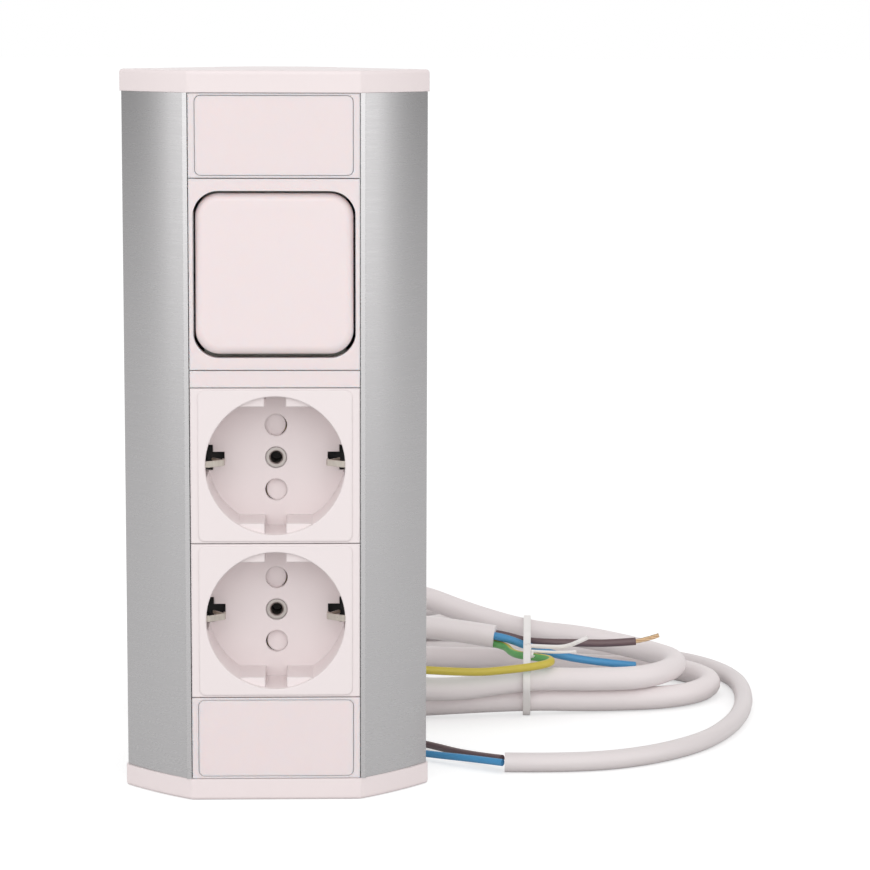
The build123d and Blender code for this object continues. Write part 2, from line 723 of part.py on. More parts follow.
# Switch contacts: the fulcrum post in the middle and a fixed contact behind one lever end
with BuildPart() as switch_contacts:
    post_front = lever_depth - lever_thickness + fulcrum_gap
    with BuildSketch(facing(switch_z, switch_base_back - switch_wall)):
        Rectangle(2 * lever_half_width, lever_thickness)
    extrude(amount=switch_base_back - switch_wall - post_front)
    with BuildSketch(facing(switch_z, switch_base_back - switch_wall)):
        with Locations((0, contact_z)):
            Rectangle(2 * lever_half_width, lever_half_width)
    pad_swing = lever_half_length * sin(radians(lever_rest_deg))
    extrude(amount=switch_base_back - switch_wall - lever_depth - pad_swing - seat_gap)
write(switch_contacts.part, "switch_contacts")
with BuildPart() as switch_screws:
    with BuildSketch(facing(switch_z, switch_base_back)):
        with Locations(*[(x, rise) for x in (-terminal_x, terminal_x) for rise in (0, 2 * lever_half_width)]):
            Circle(terminal_screw_head)
    extrude(amount=-terminal_screw_radius)
write(switch_screws.part, "switch_terminal_screws")


def tube(points, diameter, share=0.45):
    """A round tube along straight runs joined by tangent arcs as large as the runs allow."""
    corners = [Vector(*point) for point in points]
    radii = []
    for before, corner, after in zip(corners, corners[1:], corners[2:]):
        turn = (corner - before).get_angle(after - corner)
        shorter = min((corner - before).length, (after - corner).length)
        radii.append(share * shorter / tan(radians(turn / 2)))
    with BuildLine() as line:
        if radii:
            FilletPolyline(*corners, radius=radii)
        else:
            Line(*corners)
    with BuildSketch(Plane(origin=corners[0], z_dir=corners[1] - corners[0])) as section:
        Circle(diameter / 2)
    return sweep(section.sketch, path=line.wire(), mode=Mode.PRIVATE), line.wire(), radii


def deep(points):
    """Points written as X, depth behind the front face and height, in the part's own frame."""
    return [(x, y + front, z) for x, y, z in points]


def lead(points, diameter, name):
    """Writes one lead piece and prints its bend radii, length and volume against its section."""
    solid, path, radii = tube(deep(points), diameter)
    with BuildPart() as piece:
        add(solid)
    write(piece.part, name)
    expected = path.length * pi * diameter**2 / 4
    least = round(min(radii), 1) if radii else "straight"
    print(name, "length", round(path.length, 1), "least radius", least)
    print(name, "volume against its section", round(piece.part.volume / expected, 4))
    return path


# Grommets in the back wall, and the two halves of the clamp that hold the leads inside
exits = ((supply_exit_height, supply_diameter, "supply"), (lamp_exit_height, lamp_diameter, "lamp"))
inner_wall = depth - wall
clamp_front = inner_wall - grommet_flange_thickness - clamp_depth
sheath_end = clamp_front - sheath_proud
clamp_mid_depth = front + clamp_front + clamp_depth / 2
for exit_height, diameter, name in exits:
    with BuildPart() as grommet:
        for start, length in ((depth + grommet_flange_thickness, grommet_flange_thickness),
                              (inner_wall, grommet_flange_thickness)):
            with BuildSketch(facing(exit_height, start)):
                Circle(diameter / 2 + grommet_wall + grommet_flange)
            extrude(amount=length)
        with BuildSketch(facing(exit_height, depth)):
            Circle(diameter / 2 + grommet_wall)
        extrude(amount=wall)
        with BuildSketch(facing(exit_height, depth + grommet_flange_thickness)):
            Circle(diameter / 2 + running_gap)
        extrude(amount=wall + 2 * grommet_flange_thickness, mode=Mode.SUBTRACT)
    write(grommet.part, f"{name}_grommet")
clamp_middle = (supply_exit_height + lamp_exit_height) / 2
clamp_half_height = (lamp_exit_height - supply_exit_height) / 2 + clamp_margin
clamp_screw_z = clamp_middle + clamp_screw_rise
clamp_screw_plane = Plane(origin=(0, clamp_mid_depth, clamp_screw_z), x_dir=(0, 1, 0), z_dir=(1, 0, 0))
for side, hand in ((-1, "left"), (1, "right")):
    with BuildPart() as clamp:
        with BuildSketch(facing(clamp_middle, clamp_front + clamp_depth)):
            with Locations((side * (clamp_half_width + seat_gap) / 2, 0)):
                Rectangle(clamp_half_width - seat_gap, 2 * clamp_half_height)
            for exit_height, diameter, name in exits:
                with Locations((0, exit_height - clamp_middle)):
                    Circle(diameter / 2 + running_gap, mode=Mode.SUBTRACT)
        extrude(amount=clamp_depth)
        with BuildSketch(clamp_screw_plane):
            Circle(cap_screw_radius + running_gap)
        extrude(amount=clamp_half_width, both=True, mode=Mode.SUBTRACT)
    write(clamp.part, f"clamp_{hand}_half")
with BuildPart() as clamp_screw:
    with BuildSketch(clamp_screw_plane.offset(clamp_half_width)):
        Circle(terminal_screw_head)
    extrude(amount=terminal_screw_radius)
    with BuildSketch(clamp_screw_plane.offset(clamp_half_width)):
        Circle(cap_screw_radius)
    extrude(amount=-2 * clamp_half_width)
write(clamp_screw.part, "clamp_screw")

# Inner wires behind the sockets, from the leads to the terminals and from socket to socket.
# Their points are X, depth behind the front face, and height.
live_x = 5.2
wire_depth = base_back + wire_clearance
earth_depth = wire_depth + 0.4
lamp_depth = wire_depth + 1.0
neutral_z = lower_socket_z - pin_half
live_z = lower_socket_z + pin_half
strap_face = base_back + earth_strip
lamp_sheath_end = clamp_front - lamp_sheath_proud
core_z = supply_exit_height + 1.0
earth_core_z = supply_exit_height - 2.3
bend_depth = sheath_end - wire_bend
core_rise_x = core_spread + 2.3
third_z = live_z + socket_height + wire_pair
switch_live_z = switch_z - 8.0
switch_lamp_z = switch_z - 4.0


def core_start(side):
    """Corners of a supply core from its sheath's end, below the sockets, and up behind them."""
    return [(side * core_spread, sheath_end, core_z), (side * core_spread, bend_depth, core_z),
            (side * core_rise_x, bend_depth - 0.1, core_z + 4.5), (side * live_x, wire_depth, core_z + 8.5)]


def bridge(x, depth, start, end):
    """Corners of a wire from one terminal, along behind the bases, and into another."""
    return [(x, start[0], start[1]), (x, depth, start[1]), (x, depth, end[1]), (x, end[0], end[1])]


live_routes = [
    core_start(1) + bridge(live_x, wire_depth, (base_back, live_z), (base_back, live_z))[2:],
    bridge(live_x, wire_depth, (base_back, live_z + wire_pair), (base_back, live_z + socket_height)),
    bridge(live_x, wire_depth, (base_back, third_z), (switch_base_back, switch_live_z)),
]
neutral_routes = [
    core_start(-1) + bridge(-live_x, wire_depth, (base_back, neutral_z), (base_back, neutral_z))[2:],
    bridge(-live_x, wire_depth, (base_back, neutral_z + wire_pair), (base_back, neutral_z + socket_height)),
]
earth_routes = [
    [(0, sheath_end, earth_core_z), (0, sheath_end - 6.1, earth_core_z),
     (0, sheath_end - 7.5, earth_core_z + 4.8), (0, base_back + 2.2, earth_core_z + 10.8),
     (0, base_back + 2.2, earth_core_z + 20.3), (0, earth_depth, earth_core_z + 24.3)]
    + bridge(0, earth_depth, (base_back, 0), (strap_face, lower_socket_z - wire_pair / 2))[2:],
    bridge(0, earth_depth, (strap_face, lower_socket_z + wire_pair / 2), (strap_face, upper_socket_z)),
]
lamp_up = lamp_exit_height + 0.7
lamp_level = lamp_exit_height + 0.1
lamp_routes = [
    [(1.3, lamp_sheath_end - 0.9, lamp_up), (2.6, lamp_sheath_end - 2.0, lamp_up + 1.6)]
    + bridge(2.6, lamp_depth, (lamp_depth, lamp_up + 4.8), (switch_base_back, switch_lamp_z))[1:],
    [(-1.3, lamp_sheath_end - 0.7, lamp_level - 0.4), (-2.75, lamp_sheath_end - 2.4, lamp_level),
     (-2.75, base_back, lamp_level)],
]
for name, routes, diameter in (
    ("live_wires", live_routes, inner_wire_diameter),
    ("neutral_wires", neutral_routes, inner_wire_diameter),
    ("earth_wires", earth_routes, inner_wire_diameter),
    ("lamp_wires", lamp_routes, fine_core_diameter),
):
    with BuildPart() as loom:
        for route in routes:
            add(tube(deep(route), diameter, 0.4)[0])
    write(loom.part, name)


def midpoint(a, b):
    """The point halfway between two others, where one piece of a lead meets the next."""
    return tuple((p + q) / 2 for p, q in zip(a, b))


def fold(side, centre_x, centre_y, radius, heights):
    """Three corners that take a lead round a half turn of a given radius."""
    near, far = (centre_y - side * radius, centre_y + side * radius)
    reach = side * radius * tan(radians(30))
    return [(centre_x + reach, near, heights[0]), (centre_x + 2 * reach, centre_y, heights[1]),
            (centre_x + reach, far, heights[2])]


# Supply lead: out of the back, down to the floor, two laps of a flat hank, and a lifted end.
# Its points are X, depth behind the front face, and height.
floor_z = supply_diameter / 2
second_z = floor_z + supply_diameter + layer_gap
supply_run = [(0, sheath_end, supply_exit_height), (0, 66.0, supply_exit_height), (1.0, 80.0, 15.5),
              (8.0, 92.5, 6.8), (27.0, 100.3, floor_z)]
near_waist = [(79.0, 105.0, floor_z + tie_lift), (79.0, 100.0, 13.0)]
near_shoulder = [(100.0, 108.2, floor_z), (99.0, 110.0, second_z)]
right_folds = [(119.0, 136.0, 23.3), (109.6, 134.0, 20.5)]
far_leg = [(110.0, 160.0, floor_z), (79.0, 166.0, floor_z + tie_lift), (44.0, 171.0, 5.0), (8.0, 169.0, 10.0)]
left_fold = (-12.0, 130.0, 34.0)
left_heights = (14.0, 16.0, 16.5)
climb_run = [(-4.0, 93.5, 16.8), (22.0, 92.0, 14.6), (52.0, 95.0, 9.9)]
hank_corners = []
for lap in range(2):
    centre_x, centre_y, radius = right_folds[lap]
    height = near_shoulder[lap][2]
    hank_corners += [near_waist[lap], near_shoulder[lap]]
    hank_corners += fold(1, centre_x, centre_y, radius, 3 * [height])
    if lap == 0:
        hank_corners += far_leg + fold(-1, *left_fold, left_heights) + climb_run
hank_corners += [(101.0, 157.0, 15.2)]
supply_end_corners = [(84.0, 155.0, 17.2), (64.0, 159.0, 22.2), (44.0, 163.0, 29.6), (18.0, 164.5, 31.0),
                      (-6.0, 164.0, 30.0)]
end_fold = (-14.0, 138.5, 25.5)
end_heights = (29.0, 27.0, 26.0)
supply_end_corners += fold(-1, *end_fold, end_heights)
supply_end_corners += [(-2.0, 115.0, 25.8), (22.0, 124.0, 26.2), (46.0, 130.5, 24.9), (70.0, 125.0, 21.8)]
hank_start = midpoint(supply_run[-1], hank_corners[0])
hank_end = midpoint(hank_corners[-1], supply_end_corners[0])
lead(supply_run + [hank_start], supply_diameter, "supply_lead_run")
hank_path = lead([hank_start] + hank_corners + [hank_end], supply_diameter, "supply_hank")
end_path = lead([hank_end] + supply_end_corners, supply_diameter, "supply_lead_end")


def least_gap(path, diameter, spacing=2.0, skip=4):
    """The least clear distance between parts of a tube that aren't neighbours along it."""
    count = int(path.length / spacing)
    points = [path @ (i / count) for i in range(count + 1)]
    near = int(skip * diameter / spacing)
    pairs = ((points[i] - points[j]).length for i in range(count + 1) for j in range(i + near, count + 1))
    return round(min(pairs) - diameter, 2)


print("supply hank least gap to itself", least_gap(hank_path, supply_diameter))

# Lamp lead: back over the supply lead, three laps of a small hank that spirals in on top and
# out on the floor behind it, and a tail that comes round to the front
lamp_floor = lamp_diameter / 2
lamp_top = lamp_floor + lamp_diameter + layer_gap
lamp_pitch = lamp_diameter + 0.75
lamp_fold = 25.5
lamp_centre_depth = 219.5
lamp_right_x, lamp_left_x = 42.0, -16.0
lamp_middle_x = (lamp_right_x + lamp_left_x) / 2
corners_per_lap = 8
lamp_laps_top = 1.5
lamp_laps = 3.0


def lamp_corner(index):
    """Corner of the lamp hank: the fold radius shrinks and grows again at a steady rate."""
    laps = index / corners_per_lap
    spiral = laps if laps < lamp_laps_top else lamp_laps - laps
    radius = lamp_fold - lamp_pitch * spiral
    drop = min(max((laps - lamp_laps_top) * corners_per_lap / 2 + 0.5, 0), 1)
    height = lamp_top + (lamp_floor - lamp_top) * drop
    place = index % corners_per_lap
    if place in (0, 4):
        return (lamp_middle_x, lamp_centre_depth + (radius if place else -radius), height)
    side, step = (1, place - 1) if place < 4 else (-1, place - 5)
    centre_x = lamp_right_x if side > 0 else lamp_left_x
    return fold(side, centre_x, lamp_centre_depth, radius, 3 * [height])[step]


lamp_run = [
    (0, lamp_sheath_end, lamp_exit_height), (0, 72.0, lamp_exit_height), (-5.0, 100.0, 39.8),
    (-14.0, 128.0, 39.9), (-21.0, 150.0, 39.5), (-24.0, 171.0, 37.0), (-21.0, 187.0, 27.5),
    (-9.0, 193.5, 15.8),
]
lamp_hank_corners = [lamp_corner(index) for index in range(int(corners_per_lap * lamp_laps) + 1)]
lamp_tail = [(x, y, lamp_floor) for x, y in (
    (42.0, 193.6), (66.0, 192.6), (88.0, 192.4), (108.0, 190.0), (125.0, 183.5), (138.4, 174.0),
    (147.9, 160.0), (152.9, 142.0), (152.3, 120.0), (148.8, 98.0), (142.0, 76.0), (130.2, 54.0),
    (111.0, 37.0), (89.0, 29.5), (68.0, 31.0),
)]
lamp_hank_start = midpoint(lamp_run[-1], lamp_hank_corners[0])
lamp_hank_end = midpoint(lamp_hank_corners[-1], lamp_tail[0])
lead(lamp_run + [lamp_hank_start], lamp_diameter, "lamp_lead_run")
lamp_path = lead([lamp_hank_start] + lamp_hank_corners + [lamp_hank_end], lamp_diameter, "lamp_hank")
print("lamp hank least gap to itself", least_gap(lamp_path, lamp_diameter))
lead([lamp_hank_end] + lamp_tail, lamp_diameter, "lamp_lead_tail")

# Stripped ends: the cores that leave each sheath, and the bare copper of the brown supply core
supply_brown = [
    (70.42, 126.44, 22.49), (74.29, 125.55, 21.99), (80.0, 124.3, 20.4), (88.0, 121.8, 20.4),
    (98.0, 121.2, 20.4), (107.0, 121.8, 20.0), (116.3, 122.0, 20.7),
]
supply_blue = [
    (69.72, 123.47, 22.36), (73.59, 122.58, 21.86), (80.0, 120.6, 19.7), (90.0, 117.6, 17.4),
    (102.0, 117.6, 16.0), (116.0, 120.2, 14.6),
]
supply_green_yellow = [
    (69.6, 124.48, 19.6), (73.47, 123.59, 19.1), (75.2, 114.5, 18.2), (81.5, 107.5, 18.7),
    (86.0, 103.0, 19.1), (87.3, 99.0, 18.9), (83.0, 95.6, 18.4), (73.5, 93.5, 17.6), (60.0, 91.5, 16.9),
    (40.0, 90.0, 18.8),
]
copper_tip = [(116.3, 122.0, 20.7), (119.0, 122.05, 20.95), (124.0, 122.1, 22.7)]
lamp_brown = [(67.3, 32.4, 3.8), (57.0, 44.0, 2.2), (46.0, 61.0, 1.2), (32.0, 74.0, 1.2)]
lamp_blue = [(67.3, 29.9, 3.1), (58.0, 36.5, 2.8), (46.0, 45.5, 1.9), (33.0, 54.0, 1.7)]
core_paths = [lead(supply_brown, core_diameter, "supply_core_brown"),
              lead(supply_blue, core_diameter, "supply_core_blue"),
              lead(supply_green_yellow, core_diameter, "supply_core_green_yellow")]
lead(copper_tip, copper_diameter, "supply_copper_tip")
lead(lamp_brown, fine_core_diameter, "lamp_core_brown")
lead(lamp_blue, fine_core_diameter, "lamp_core_blue")

# Twist tie: a flat loop drawn tight round the hank's waist and the cores, and its twisted tail
tie_x, tie_depth, _ = near_waist[1]
tie_plane = Plane(origin=(tie_x, tie_depth + front, 0), x_dir=(tie_slant, 1, 0), z_dir=(1, -tie_slant, 0))


def crossings(path, spacing=0.25):
    """Place in the tie's plane, and slant, of each crossing of a lead through that plane."""
    count = int(path.length / spacing)
    points = [tie_plane.to_local_coords(path @ (i / count)) for i in range(count + 1)]
    steps = [(a, b) for a, b in zip(points, points[1:]) if a.Z * b.Z <= 0]
    return [((b.X, b.Y), (b - a).length / abs(b.Z - a.Z)) for a, b in steps]


def reach(slant, diameter):
    """How far a slanting lead stands out from its middle within the width of the tie."""
    return slant * diameter / 2 + tie_width / 2 * sqrt(slant**2 - 1)


held = [(crossing, supply_diameter) for path in (hank_path, end_path) for crossing in crossings(path)]
held += [(crossings(path)[0], core_diameter) for path in core_paths]
bundle = [(place, reach(slant, diameter)) for (place, slant), diameter in held]
print("tie's lowest point", round(min(z - r for (y, z), r in bundle) - tie_gap - tie_thickness, 3))
tie_tail = [(79.6, 109.0, 22.1), (85.0, 107.8, 22.0), (92.0, 105.8, 22.2), (98.7, 103.6, 25.8)]
with BuildPart() as tie:
    for slack, mode in ((tie_gap + tie_thickness, Mode.ADD), (tie_gap, Mode.SUBTRACT)):
        with BuildSketch(tie_plane) as loop:
            for place, radius in bundle:
                with Locations(place):
                    Circle(radius + slack)
            make_hull()
        extrude(loop.sketch, amount=tie_width / 2, both=True, mode=mode)
    add(tube(deep(tie_tail), tie_wire_diameter)[0])
write(tie.part, "twist_tie")
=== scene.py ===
# Corner furniture socket, dressed and lit: an aluminium corner profile with two earthed sockets and
# a rocker switch, and its two leads on the surface beside it.
from math import cos, pi, radians, sin, tan

import bpy
import bmesh
from mathutils import Matrix, Vector


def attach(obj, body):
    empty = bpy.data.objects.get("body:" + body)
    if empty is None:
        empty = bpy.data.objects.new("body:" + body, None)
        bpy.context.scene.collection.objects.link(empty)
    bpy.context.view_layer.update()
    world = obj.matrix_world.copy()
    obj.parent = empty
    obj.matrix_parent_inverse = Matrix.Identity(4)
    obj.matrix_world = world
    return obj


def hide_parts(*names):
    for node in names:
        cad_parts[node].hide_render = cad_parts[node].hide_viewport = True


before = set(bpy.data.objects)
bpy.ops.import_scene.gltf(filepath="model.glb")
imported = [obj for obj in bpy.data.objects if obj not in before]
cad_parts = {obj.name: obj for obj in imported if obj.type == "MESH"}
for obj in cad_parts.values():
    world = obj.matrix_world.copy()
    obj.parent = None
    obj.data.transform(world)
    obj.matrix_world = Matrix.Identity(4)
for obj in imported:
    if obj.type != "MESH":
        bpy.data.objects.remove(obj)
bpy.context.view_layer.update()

# The camera stands just under a metre in front of the unit and a little above its top, looks down
# on it by eight degrees, and has a long lens.
camera_place = (0.01534, -0.89253, 0.22856)
camera_yaw, camera_pitch, camera_roll = 0.035, 0.1399, 0.0033


def add_to_scene(name, data):
    """A new object in the scene, at the origin."""
    thing = bpy.data.objects.new(name, data)
    bpy.context.scene.collection.objects.link(thing)
    return thing


camera_data = bpy.data.cameras.new("camera")
camera_data.sensor_width = 36.0
camera_data.lens = 126.65
camera = add_to_scene("camera", camera_data)
camera.matrix_world = (
    Matrix.Translation(camera_place)
    @ Matrix.Rotation(-camera_yaw, 4, "Z")
    @ Matrix.Rotation(pi / 2 - camera_pitch, 4, "X")
    @ Matrix.Rotation(camera_roll, 4, "Z")
)
bpy.context.scene.camera = camera
bpy.context.scene.view_settings.view_transform = "Standard"

# Supply lead: three cores in a round sheath of soft plastic, 7.5 mm across. It comes out of the back,
# is folded twice into a flat hank to the right of the unit, and its cut end lies on top.
MM = 0.001
front = -27.5
supply_diameter = 7.5
supply_floor = 3.75
front_strand = 4.0
supply_second = 11.6
waist_lift = 1.75


def placed(points):
    """Points written as X, depth behind the front and height in millimetres, in the unit's frame."""
    return [Vector((x * MM, (y + front) * MM, z * MM)) for x, y, z in points]


def fold(side, centre_x, centre_y, radius, heights):
    """Three corners that take a lead round a half turn."""
    near, far = (centre_y - side * radius, centre_y + side * radius)
    reach = side * radius * tan(radians(30))
    return [(centre_x + reach, near, heights[0]), (centre_x + 2 * reach, centre_y, heights[1]),
            (centre_x + reach, far, heights[2])]


def smooth_line(name, points, bevel_steps=0, radius=0.0):
    """One smooth open line through the run of a lead, round in section where a radius is given."""
    curve = bpy.data.curves.new(name, "CURVE")
    curve.dimensions = "3D"
    curve.resolution_u = 8
    curve.bevel_depth = radius
    curve.bevel_resolution = bevel_steps
    curve.use_fill_caps = True
    spline = curve.splines.new("NURBS")
    spline.points.add(len(points) - 1)
    for place, point in zip(spline.points, points):
        place.co = (*point, 1.0)
    spline.order_u = 3
    spline.use_endpoint_u = True
    return add_to_scene(name, curve)


supply_run = [
    (0, 42.1, 24.0), (0, 66.0, 24.0), (1.0, 80.0, 15.5), (8.0, 92.5, 6.8), (27.0, 100.3, supply_floor),
]
near_waist = [(79.0, 105.0, supply_floor + waist_lift), (79.0, 100.75, 13.15)]
near_shoulder = [(100.0, 108.4, front_strand), (99.0, 105.3, supply_second)]
right_folds = [(119.0, 136.0, 23.3), (106.8, 131.2, 23.3)]
far_leg = [
    (110.0, 160.0, supply_floor), (79.0, 166.0, supply_floor + waist_lift), (44.0, 171.0, 5.0),
    (8.0, 169.0, 10.0),
]
left_fold = (-12.0, 130.0, 34.0)
climb_run = [(-4.0, 93.5, 16.8), (22.0, 92.0, 14.6), (52.0, 95.0, 9.9)]
hank = []
for lap in range(2):
    hank += [near_waist[lap], near_shoulder[lap]]
    hank += fold(1, *right_folds[lap], 3 * [near_shoulder[lap][2]])
    if lap == 0:
        hank += far_leg + fold(-1, *left_fold, (14.0, 16.0, 16.5)) + climb_run
hank += [(101.0, 157.0, 15.2)]
loose_end = [
    (84.0, 155.0, 17.2), (64.0, 159.0, 22.2), (44.0, 163.0, 29.6), (18.0, 164.5, 31.0), (-6.0, 164.0, 30.0),
]
loose_end += fold(-1, -14.0, 138.5, 25.5, (29.0, 27.0, 26.0))
loose_end += [(-2.0, 115.0, 25.8), (22.0, 124.0, 26.2), (46.0, 130.5, 24.9), (70.0, 125.0, 21.8)]
supply_route = placed(supply_run + hank + loose_end)
supply_lead = smooth_line("supply_lead", supply_route, bevel_steps=6, radius=supply_diameter / 2 * MM)


def principled(name, colour, roughness, metallic=0.0, gloss=0.5):
    """A new material with its main shader set to one finish; returns the material,
    its nodes and links, and the shader."""
    material = bpy.data.materials.new(name)
    material.use_nodes = True
    nodes, links = material.node_tree.nodes, material.node_tree.links
    shader = nodes["Principled BSDF"]
    shader.inputs["Base Color"].default_value = (*colour, 1.0)
    shader.inputs["Roughness"].default_value = roughness
    shader.inputs["Metallic"].default_value = metallic
    shader.inputs["Specular IOR Level"].default_value = gloss
    return material, nodes, links, shader


def new_group(name, inputs, outputs):
    """A shader node group with named number, vector or colour inputs and outputs."""
    group = bpy.data.node_groups.new(name, "ShaderNodeTree")
    for label, kind, value in inputs:
        socket = group.interface.new_socket(label, in_out="INPUT", socket_type=kind)
        socket.default_value = value
    for label, kind in outputs:
        group.interface.new_socket(label, in_out="OUTPUT", socket_type=kind)
    return group, group.nodes.new("NodeGroupInput"), group.nodes.new("NodeGroupOutput")


def math_node(nodes, operation, *fixed):
    """A node of arithmetic, with fixed values in the inputs after its first."""
    node = nodes.new("ShaderNodeMath")
    node.operation = operation
    for place, value in enumerate(fixed, start=1):
        node.inputs[place].default_value = value
    return node


def connect(links, pairs):
    """Joins sockets, in pairs of an output and an input."""
    for start, end in pairs:
        links.new(start, end)


# The skin of a moulded or extruded plastic: slow drifts of tone, and a fine pebble
skin_group, skin_in, skin_out = new_group(
    "plastic_skin",
    [("Base", "NodeSocketColor", (0.8, 0.8, 0.8, 1)), ("Shade", "NodeSocketColor", (0.7, 0.7, 0.7, 1)),
     ("Drift Scale", "NodeSocketFloat", 30.0), ("Drift Share", "NodeSocketFloat", 0.3),
     ("Pebble Scale", "NodeSocketFloat", 2500.0), ("Roughness", "NodeSocketFloat", 0.4),
     ("Roughness Spread", "NodeSocketFloat", 0.08)],
    [("Color", "NodeSocketColor"), ("Roughness", "NodeSocketFloat"), ("Height", "NodeSocketFloat")],
)
skin_place = skin_group.nodes.new("ShaderNodeTexCoord")
drift = skin_group.nodes.new("ShaderNodeTexNoise")
drift.inputs["Detail"].default_value = 3.0
pebble = skin_group.nodes.new("ShaderNodeTexNoise")
pebble.inputs["Detail"].default_value = 2.0
drift_share = math_node(skin_group.nodes, "MULTIPLY")
skin_mix = skin_group.nodes.new("ShaderNodeMix")
skin_mix.data_type = "RGBA"
rough_step = math_node(skin_group.nodes, "MULTIPLY_ADD")
connect(skin_group.links, (
    (skin_place.outputs["Object"], drift.inputs["Vector"]),
    (skin_place.outputs["Object"], pebble.inputs["Vector"]),
    (skin_in.outputs["Drift Scale"], drift.inputs["Scale"]),
    (skin_in.outputs["Pebble Scale"], pebble.inputs["Scale"]),
    (drift.outputs["Fac"], drift_share.inputs[0]),
    (skin_in.outputs["Drift Share"], drift_share.inputs[1]),
    (drift_share.outputs["Value"], skin_mix.inputs["Factor"]),
    (skin_in.outputs["Base"], skin_mix.inputs["A"]),
    (skin_in.outputs["Shade"], skin_mix.inputs["B"]),
    (drift.outputs["Fac"], rough_step.inputs[0]),
    (skin_in.outputs["Roughness Spread"], rough_step.inputs[1]),
    (skin_in.outputs["Roughness"], rough_step.inputs[2]),
    (skin_mix.outputs["Result"], skin_out.inputs["Color"]),
    (rough_step.outputs["Value"], skin_out.inputs["Roughness"]),
    (pebble.outputs["Fac"], skin_out.inputs["Height"]),
))


def ease_edges(nodes, links, bump, radius):
    """Lets a material shade a piece's edges as rounded, under its bump."""
    eased = nodes.new("ShaderNodeBevel")
    eased.samples = 6
    eased.inputs["Radius"].default_value = radius
    links.new(eased.outputs["Normal"], bump.inputs["Normal"])


def plastic(name, base, shade, roughness, drift_scale=30.0, drift_amount=0.3, pebble_scale=2500.0,
            pebble_depth=0.00002, edge=0.0, scatter=0.0):
    """A moulded plastic: its skin group, a fine bump, light that spreads inside it, and eased edges."""
    material, nodes, links, shader = principled(name, base, roughness)
    shader.inputs["Subsurface Weight"].default_value = scatter
    shader.inputs["Subsurface Radius"].default_value = (1.0, 0.8, 0.7)
    shader.inputs["Subsurface Scale"].default_value = 0.0012
    skin = nodes.new("ShaderNodeGroup")
    skin.node_tree = skin_group
    skin.inputs["Base"].default_value = (*base, 1.0)
    skin.inputs["Shade"].default_value = (*shade, 1.0)
    skin.inputs["Drift Scale"].default_value = drift_scale
    skin.inputs["Drift Share"].default_value = drift_amount
    skin.inputs["Pebble Scale"].default_value = pebble_scale
    skin.inputs["Roughness"].default_value = roughness
    bump = nodes.new("ShaderNodeBump")
    bump.inputs["Distance"].default_value = pebble_depth
    bump.inputs["Strength"].default_value = 0.5
    links.new(skin.outputs["Color"], shader.inputs["Base Color"])
    links.new(skin.outputs["Roughness"], shader.inputs["Roughness"])
    links.new(skin.outputs["Height"], bump.inputs["Height"])
    links.new(bump.outputs["Normal"], shader.inputs["Normal"])
    if edge:
        ease_edges(nodes, links, bump, edge)
    return material


def dress(material, *nodes):
    """Gives carried-over pieces their finish."""
    for node in nodes:
        mesh = bpy.data.objects[node].data
        mesh.materials.clear()
        mesh.materials.append(material)


supply_sheath = plastic("supply_sheath", (0.855, 0.785, 0.785), (0.81, 0.745, 0.745), 0.42, drift_scale=45.0,
                        drift_amount=0.5, pebble_scale=900.0, pebble_depth=0.00006)
supply_lead.data.materials.append(supply_sheath)
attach(supply_lead, "housing")
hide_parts("supply_lead_run", "supply_hank", "supply_lead_end")

# Lamp lead: two cores in a thinner round sheath of the same kind, 5.9 mm across. It drops behind the
# unit into a small hank of three laps and comes round the outside of the supply lead to the front.
lamp_diameter = 5.9
lamp_floor = 2.95
lamp_top = 9.85
lamp_pitch = 6.65
lamp_fold = 25.5
lamp_centre_depth = 219.5
lamp_right_x, lamp_left_x = 42.0, -16.0
corners_per_lap = 8
lamp_laps_top, lamp_laps = 1.5, 3.0


def lamp_corner(index):
    """Corner of the lamp lead's hank, whose folds shrink for half of its laps and grow again."""
    laps = index / corners_per_lap
    spiral = laps if laps < lamp_laps_top else lamp_laps - laps
    radius = lamp_fold - lamp_pitch * spiral
    drop = min(max((laps - lamp_laps_top) * corners_per_lap / 2 + 0.5, 0), 1)
    height = lamp_top + (lamp_floor - lamp_top) * drop
    place = index % corners_per_lap
    if place in (0, 4):
        middle = (lamp_right_x + lamp_left_x) / 2
        return (middle, lamp_centre_depth + (radius if place else -radius), height)
    side, step = (1, place - 1) if place < 4 else (-1, place - 5)
    centre_x = lamp_right_x if side > 0 else lamp_left_x
    return fold(side, centre_x, lamp_centre_depth, radius, 3 * [height])[step]


lamp_run = [(0, 43.6, 38.5), (0, 72.0, 38.5), (-5.0, 100.0, 39.8), (-14.0, 128.0, 39.9), (-21.0, 150.0, 39.5),
            (-24.0, 171.0, 37.0), (-21.0, 187.0, 27.5), (-9.0, 193.5, 15.8)]
lamp_hank = [lamp_corner(index) for index in range(int(corners_per_lap * lamp_laps) + 1)]
lamp_tail = [
    (42.0, 193.6), (66.0, 192.6), (88.0, 192.4), (108.0, 190.0), (125.0, 183.5), (138.4, 174.0),
    (147.9, 160.0), (152.9, 142.0), (152.3, 120.0), (148.8, 98.0), (142.0, 76.0), (130.2, 54.0),
    (111.0, 37.0), (89.0, 29.5), (68.0, 31.0),
]
lamp_route = placed(lamp_run + lamp_hank + [(x, y, lamp_floor) for x, y in lamp_tail])
lamp_lead = smooth_line("lamp_lead", lamp_route, bevel_steps=6, radius=lamp_diameter / 2 * MM)
lamp_sheath = plastic("lamp_sheath", (0.765, 0.705, 0.705), (0.715, 0.66, 0.66), 0.36, drift_scale=45.0,
                      drift_amount=0.4, pebble_scale=900.0, pebble_depth=0.00004)
lamp_lead.data.materials.append(lamp_sheath)
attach(lamp_lead, "housing")
